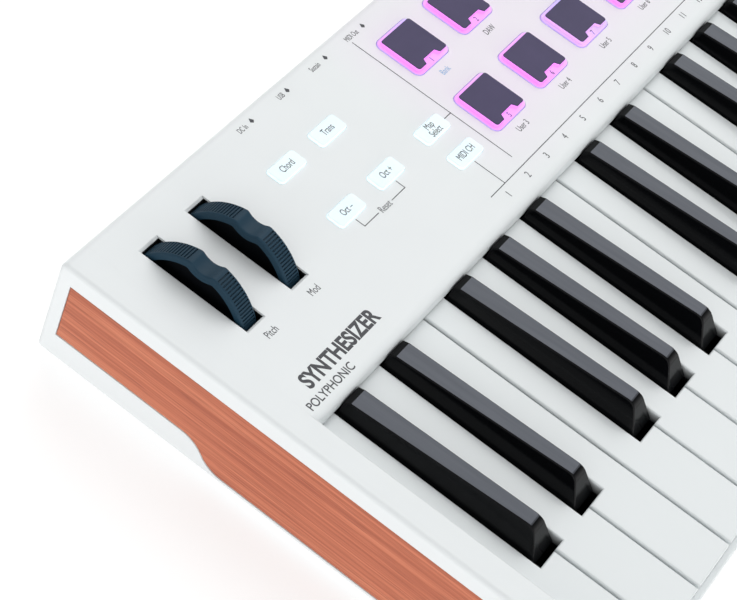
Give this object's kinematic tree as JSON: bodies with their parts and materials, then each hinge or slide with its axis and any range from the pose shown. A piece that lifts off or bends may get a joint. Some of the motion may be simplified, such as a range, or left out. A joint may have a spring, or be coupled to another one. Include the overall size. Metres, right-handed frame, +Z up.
{
  "type": "synthesizer",
  "caption": "Keyboard synthesizer with full-size keys, pitch and modulation wheels, lit pads and buttons, rotary encoders, faders and a colour screen.",
  "frame": {"origin": "centre of the footprint, at the bottom of the rubber feet", "axes": "+X along the keyboard to the high notes, +Y from the player to the back, +Z up"},
  "size_m": [0.87, 0.2284, 0.0618],
  "materials": {
    "housing": "fine satin white",
    "bottom": "fine texture",
    "wood": "straight grain, oiled",
    "rubber": "matte",
    "screw": "zinc plated",
    "frame": "moulded",
    "rod": "ground",
    "felt": "felt",
    "board": "solder mask",
    "contact_rubber": "silicone",
    "sensor": "moulded",
    "socket": "moulded",
    "screen_body": "moulded",
    "screen_glass": "gloss",
    "wheel": "ribbed, matte",
    "button": "lit from below",
    "pad": "silicone, lit rim",
    "knob": "fluted",
    "white_key": "satin gloss",
    "black_key": "gloss"
  },
  "bodies": {
    "case": {"top_case": "housing", "bottom_plate": "bottom", "wood_side_panels": "wood", "rubber_feet": "rubber", "case_screws": "screw", "keybed_frame": "frame", "key_pivot_rod": "rod", "key_felt": "felt", "key_contact_board": "board", "key_contact_rubber": "contact_rubber", "wheel_brackets": "frame", "wheel_sensors": "sensor", "control_bodies": "sensor", "control_board": "board", "main_board": "board", "rear_sockets": "socket", "screen_module": "screen_body", "screen_window": "screen_glass"},
    "key_c": {"key_c": "white_key"},
    "key_c_sharp": {"key_c_sharp": "black_key"},
    "key_d": {"key_d": "white_key"},
    "key_d_sharp": {"key_d_sharp": "black_key"},
    "key_e": {"key_e": "white_key"},
    "key_f": {"key_f": "white_key"},
    "key_f_sharp": {"key_f_sharp": "black_key"},
    "key_g": {"key_g": "white_key"},
    "key_g_sharp": {"key_g_sharp": "black_key"},
    "key_a": {"key_a": "white_key"},
    "key_a_sharp": {"key_a_sharp": "black_key"},
    "key_b": {"key_b": "white_key"},
    "upper_white_keys": {"upper_white_keys": "white_key"},
    "upper_black_keys": {"upper_black_keys": "black_key"},
    "pitch_wheel": {"pitch_wheel": "wheel"},
    "mod_wheel": {"mod_wheel": "wheel"},
    "chord_button": {"chord_button": "button"},
    "transpose_button": {"transpose_button": "button"},
    "octave_down_button": {"octave_down_button": "button"},
    "octave_up_button": {"octave_up_button": "button"},
    "map_button": {"map_button": "button"},
    "channel_button": {"channel_button": "button"},
    "centre_buttons": {"centre_buttons": "button"},
    "pad_1": {"pad_1": "pad"},
    "pad_2": {"pad_2": "pad"},
    "pad_3": {"pad_3": "pad"},
    "pad_4": {"pad_4": "pad"},
    "pad_5": {"pad_5": "pad"},
    "pad_6": {"pad_6": "pad"},
    "pad_7": {"pad_7": "pad"},
    "pad_8": {"pad_8": "pad"},
    "encoder_knob_1": {"encoder_knob_1": "knob"},
    "encoder_knob_2": {"encoder_knob_2": "knob"},
    "encoder_knob_3": {"encoder_knob_3": "knob"},
    "encoder_knob_4": {"encoder_knob_4": "knob"},
    "encoder_knob_5": {"encoder_knob_5": "knob"},
    "encoder_knob_6": {"encoder_knob_6": "knob"},
    "encoder_knob_7": {"encoder_knob_7": "knob"},
    "encoder_knob_8": {"encoder_knob_8": "knob"},
    "encoder_knob_9": {"encoder_knob_9": "knob"},
    "main_encoder_knob": {"main_encoder_knob": "knob"},
    "fader_caps": {"fader_caps": "knob"}
  },
  "joints": [
    {"name": "key_c_press", "type": "hinge", "parent": "case", "child": "key_c", "pos_m": [-0.41125, 0.0408, 0.029], "axis": [1, 0, 0], "range_deg": [0, 3.7], "stiffness_Nm_per_rad": 1.1, "springref_deg": -5.73},
    {"name": "key_c_sharp_press", "type": "hinge", "parent": "case", "child": "key_c_sharp", "pos_m": [-0.40164, 0.0408, 0.029], "axis": [1, 0, 0], "range_deg": [0, 3.7], "stiffness_Nm_per_rad": 1.1, "springref_deg": -5.73},
    {"name": "key_d_press", "type": "hinge", "parent": "case", "child": "key_d", "pos_m": [-0.38775, 0.0408, 0.029], "axis": [1, 0, 0], "range_deg": [0, 3.7], "stiffness_Nm_per_rad": 1.1, "springref_deg": -5.73},
    {"name": "key_d_sharp_press", "type": "hinge", "parent": "case", "child": "key_d_sharp", "pos_m": [-0.37386, 0.0408, 0.029], "axis": [1, 0, 0], "range_deg": [0, 3.7], "stiffness_Nm_per_rad": 1.1, "springref_deg": -5.73},
    {"name": "key_e_press", "type": "hinge", "parent": "case", "child": "key_e", "pos_m": [-0.36425, 0.0408, 0.029], "axis": [1, 0, 0], "range_deg": [0, 3.7], "stiffness_Nm_per_rad": 1.1, "springref_deg": -5.73},
    {"name": "key_f_press", "type": "hinge", "parent": "case", "child": "key_f", "pos_m": [-0.34075, 0.0408, 0.029], "axis": [1, 0, 0], "range_deg": [0, 3.7], "stiffness_Nm_per_rad": 1.1, "springref_deg": -5.73},
    {"name": "key_f_sharp_press", "type": "hinge", "parent": "case", "child": "key_f_sharp", "pos_m": [-0.33206, 0.0408, 0.029], "axis": [1, 0, 0], "range_deg": [0, 3.7], "stiffness_Nm_per_rad": 1.1, "springref_deg": -5.73},
    {"name": "key_g_press", "type": "hinge", "parent": "case", "child": "key_g", "pos_m": [-0.31725, 0.0408, 0.029], "axis": [1, 0, 0], "range_deg": [0, 3.7], "stiffness_Nm_per_rad": 1.1, "springref_deg": -5.73},
    {"name": "key_g_sharp_press", "type": "hinge", "parent": "case", "child": "key_g_sharp", "pos_m": [-0.3055, 0.0408, 0.029], "axis": [1, 0, 0], "range_deg": [0, 3.7], "stiffness_Nm_per_rad": 1.1, "springref_deg": -5.73},
    {"name": "key_a_press", "type": "hinge", "parent": "case", "child": "key_a", "pos_m": [-0.29375, 0.0408, 0.029], "axis": [1, 0, 0], "range_deg": [0, 3.7], "stiffness_Nm_per_rad": 1.1, "springref_deg": -5.73},
    {"name": "key_a_sharp_press", "type": "hinge", "parent": "case", "child": "key_a_sharp", "pos_m": [-0.27894, 0.0408, 0.029], "axis": [1, 0, 0], "range_deg": [0, 3.7], "stiffness_Nm_per_rad": 1.1, "springref_deg": -5.73},
    {"name": "key_b_press", "type": "hinge", "parent": "case", "child": "key_b", "pos_m": [-0.27025, 0.0408, 0.029], "axis": [1, 0, 0], "range_deg": [0, 3.7], "stiffness_Nm_per_rad": 1.1, "springref_deg": -5.73},
    {"name": "upper_white_keys_press", "type": "hinge", "parent": "case", "child": "upper_white_keys", "pos_m": [0.08225, 0.0408, 0.029], "axis": [1, 0, 0], "range_deg": [0, 3.7], "stiffness_Nm_per_rad": 31.9, "springref_deg": -5.73},
    {"name": "upper_black_keys_press", "type": "hinge", "parent": "case", "child": "upper_black_keys", "pos_m": [0.08225, 0.0408, 0.029], "axis": [1, 0, 0], "range_deg": [0, 3.7], "stiffness_Nm_per_rad": 22, "springref_deg": -5.73},
    {"name": "pitch_wheel_turn", "type": "hinge", "parent": "case", "child": "pitch_wheel", "pos_m": [-0.407, 0.077, 0.034], "axis": [1, 0, 0], "range_deg": [-30, 30], "stiffness_Nm_per_rad": 0.12},
    {"name": "mod_wheel_turn", "type": "hinge", "parent": "case", "child": "mod_wheel", "pos_m": [-0.3813, 0.077, 0.034], "axis": [1, 0, 0], "range_deg": [-30, 30]},
    {"name": "chord_button_press", "type": "slide", "parent": "case", "child": "chord_button", "axis": [0, 0, -1], "range_m": [0, 0.0008], "stiffness_N_per_m": 700, "springref_m": -0.001},
    {"name": "transpose_button_press", "type": "slide", "parent": "case", "child": "transpose_button", "axis": [0, 0, -1], "range_m": [0, 0.0008], "stiffness_N_per_m": 700, "springref_m": -0.001},
    {"name": "octave_down_button_press", "type": "slide", "parent": "case", "child": "octave_down_button", "axis": [0, 0, -1], "range_m": [0, 0.0008], "stiffness_N_per_m": 700, "springref_m": -0.001},
    {"name": "octave_up_button_press", "type": "slide", "parent": "case", "child": "octave_up_button", "axis": [0, 0, -1], "range_m": [0, 0.0008], "stiffness_N_per_m": 700, "springref_m": -0.001},
    {"name": "map_button_press", "type": "slide", "parent": "case", "child": "map_button", "axis": [0, 0, -1], "range_m": [0, 0.0008], "stiffness_N_per_m": 700, "springref_m": -0.001},
    {"name": "channel_button_press", "type": "slide", "parent": "case", "child": "channel_button", "axis": [0, 0, -1], "range_m": [0, 0.0008], "stiffness_N_per_m": 700, "springref_m": -0.001},
    {"name": "centre_buttons_press", "type": "slide", "parent": "case", "child": "centre_buttons", "axis": [0, 0, -1], "range_m": [0, 0.0008], "stiffness_N_per_m": 12600, "springref_m": -0.001},
    {"name": "pad_1_press", "type": "slide", "parent": "case", "child": "pad_1", "axis": [0, 0, -1], "range_m": [0, 0.001], "stiffness_N_per_m": 2500, "springref_m": -0.0005},
    {"name": "pad_2_press", "type": "slide", "parent": "case", "child": "pad_2", "axis": [0, 0, -1], "range_m": [0, 0.001], "stiffness_N_per_m": 2500, "springref_m": -0.0005},
    {"name": "pad_3_press", "type": "slide", "parent": "case", "child": "pad_3", "axis": [0, 0, -1], "range_m": [0, 0.001], "stiffness_N_per_m": 2500, "springref_m": -0.0005},
    {"name": "pad_4_press", "type": "slide", "parent": "case", "child": "pad_4", "axis": [0, 0, -1], "range_m": [0, 0.001], "stiffness_N_per_m": 2500, "springref_m": -0.0005},
    {"name": "pad_5_press", "type": "slide", "parent": "case", "child": "pad_5", "axis": [0, 0, -1], "range_m": [0, 0.001], "stiffness_N_per_m": 2500, "springref_m": -0.0005},
    {"name": "pad_6_press", "type": "slide", "parent": "case", "child": "pad_6", "axis": [0, 0, -1], "range_m": [0, 0.001], "stiffness_N_per_m": 2500, "springref_m": -0.0005},
    {"name": "pad_7_press", "type": "slide", "parent": "case", "child": "pad_7", "axis": [0, 0, -1], "range_m": [0, 0.001], "stiffness_N_per_m": 2500, "springref_m": -0.0005},
    {"name": "pad_8_press", "type": "slide", "parent": "case", "child": "pad_8", "axis": [0, 0, -1], "range_m": [0, 0.001], "stiffness_N_per_m": 2500, "springref_m": -0.0005},
    {"name": "encoder_knob_1_turn", "type": "hinge", "parent": "case", "child": "encoder_knob_1", "pos_m": [0.145, 0.0918, 0.05], "axis": [0, 0, 1], "continuous": true},
    {"name": "encoder_knob_2_turn", "type": "hinge", "parent": "case", "child": "encoder_knob_2", "pos_m": [0.176, 0.0918, 0.05], "axis": [0, 0, 1], "continuous": true},
    {"name": "encoder_knob_3_turn", "type": "hinge", "parent": "case", "child": "encoder_knob_3", "pos_m": [0.207, 0.0918, 0.05], "axis": [0, 0, 1], "continuous": true},
    {"name": "encoder_knob_4_turn", "type": "hinge", "parent": "case", "child": "encoder_knob_4", "pos_m": [0.238, 0.0918, 0.05], "axis": [0, 0, 1], "continuous": true},
    {"name": "encoder_knob_5_turn", "type": "hinge", "parent": "case", "child": "encoder_knob_5", "pos_m": [0.269, 0.0918, 0.05], "axis": [0, 0, 1], "continuous": true},
    {"name": "encoder_knob_6_turn", "type": "hinge", "parent": "case", "child": "encoder_knob_6", "pos_m": [0.3, 0.0918, 0.05], "axis": [0, 0, 1], "continuous": true},
    {"name": "encoder_knob_7_turn", "type": "hinge", "parent": "case", "child": "encoder_knob_7", "pos_m": [0.331, 0.0918, 0.05], "axis": [0, 0, 1], "continuous": true},
    {"name": "encoder_knob_8_turn", "type": "hinge", "parent": "case", "child": "encoder_knob_8", "pos_m": [0.362, 0.0918, 0.05], "axis": [0, 0, 1], "continuous": true},
    {"name": "encoder_knob_9_turn", "type": "hinge", "parent": "case", "child": "encoder_knob_9", "pos_m": [0.393, 0.0918, 0.05], "axis": [0, 0, 1], "continuous": true},
    {"name": "main_encoder_knob_turn", "type": "hinge", "parent": "case", "child": "main_encoder_knob", "pos_m": [0.101, 0.0648, 0.05], "axis": [0, 0, 1], "continuous": true},
    {"name": "fader_caps_slide", "type": "slide", "parent": "case", "child": "fader_caps", "axis": [0, 1, 0], "range_m": [-0.015, 0.015]}
  ]
}
